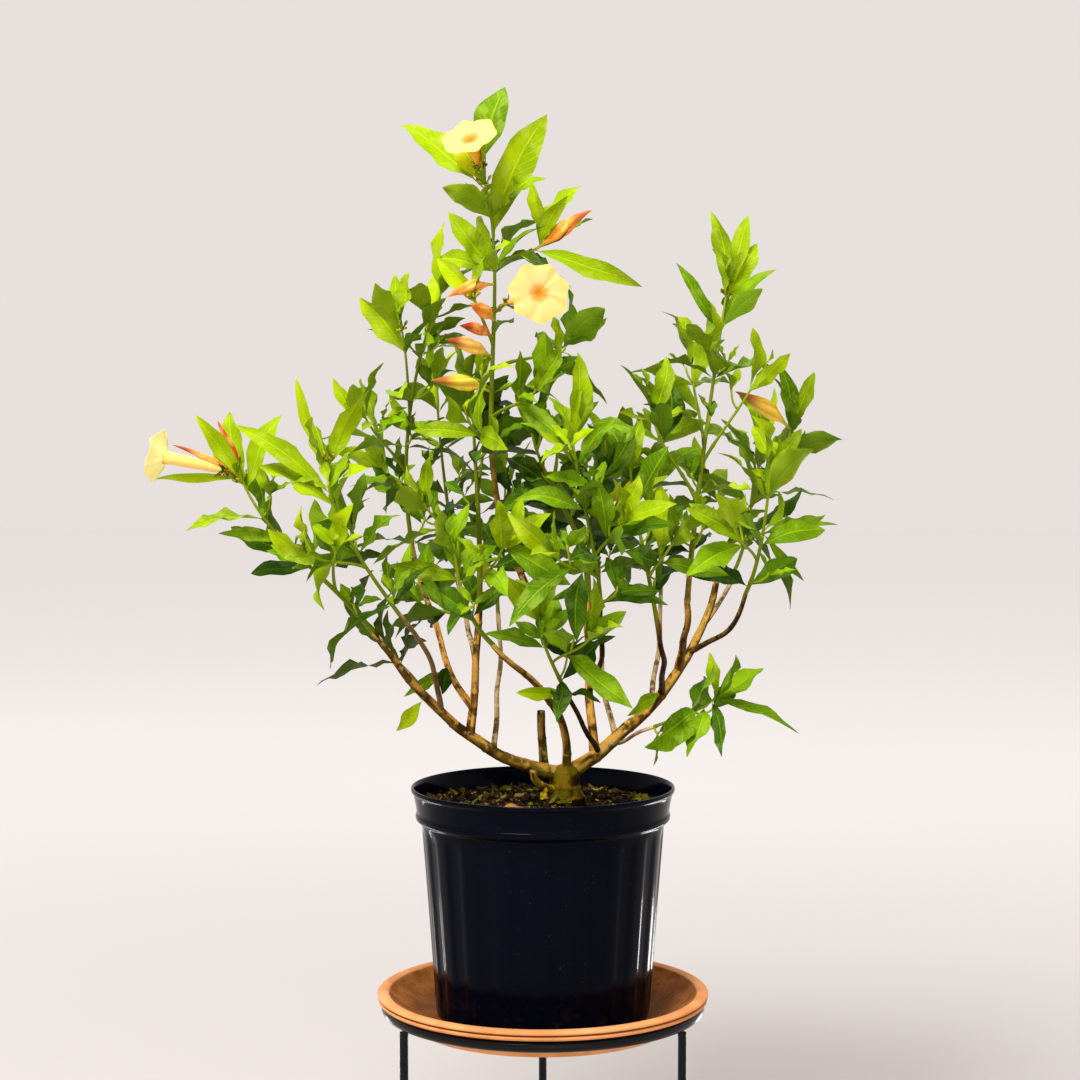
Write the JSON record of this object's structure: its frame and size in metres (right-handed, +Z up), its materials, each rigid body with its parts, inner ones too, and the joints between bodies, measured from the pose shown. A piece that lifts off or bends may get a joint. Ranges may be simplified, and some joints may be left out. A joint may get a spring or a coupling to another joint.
{
  "type": "potted allamanda shrub",
  "caption": "Bushy shrub with whorled leaves, yellow trumpet blossoms and buds, forked woody stems, in a tapered black pot on a clay saucer and a round stand with thin legs.",
  "frame": {"origin": "centre of the bounding box's underside, on the floor that the stand's feet rest on", "axes": "+Z up along the plant's height, the side seen in the picture faces -Y, its left is -X"},
  "size_m": [0.6966, 0.5504, 1.1842],
  "materials": {
    "pot_plastic": "black, soft sheen, finely fluted",
    "potting_soil": "crumbly, moist",
    "terracotta": "unglazed, water-stained",
    "stand_steel": "gloss black",
    "bark": "ridged bark",
    "foliage": "glossy leaves, waxy blossoms"
  },
  "bodies": {
    "root": {"trunk": "bark", "bough_left": "bark", "bough_right": "bark", "bough_centre": "bark", "bough_leader": "bark", "bough_left_upright": "bark", "bough_left_inner": "bark", "bough_left_front": "bark", "bough_left_back": "bark", "bough_back_left": "bark", "bough_low_left": "bark", "bough_centre_left": "bark", "bough_right_leader": "bark", "bough_right_inner": "bark", "bough_right_front": "bark", "bough_right_back": "bark", "bough_back": "bark", "bough_back_right": "bark", "bough_front": "bark", "bough_front_high": "bark", "bough_low_right": "bark", "cut_stub": "bark", "low_stub": "bark", "leaves_far_left": "foliage", "leaves_left_front": "foliage", "leaves_left_top": "foliage", "leaves_mid_left": "foliage", "leaves_left_back": "foliage", "leaves_back_left": "foliage", "leaves_low_left": "foliage", "leaves_centre_left": "foliage", "leaves_leader": "foliage", "leaves_centre": "foliage", "leaves_front_high": "foliage", "leaves_right_inner": "foliage", "leaves_right_leader": "foliage", "leaves_right_front": "foliage", "leaves_right_tall": "foliage", "leaves_right_back": "foliage", "leaves_back": "foliage", "leaves_back_right": "foliage", "leaves_front_low": "foliage", "leaves_low_right": "foliage", "stand_ring": "stand_steel", "stand_leg_1": "stand_steel", "stand_leg_2": "stand_steel", "stand_leg_3": "stand_steel", "saucer": "terracotta", "pot": "pot_plastic", "soil": "potting_soil"}
  },
  "joints": []
}
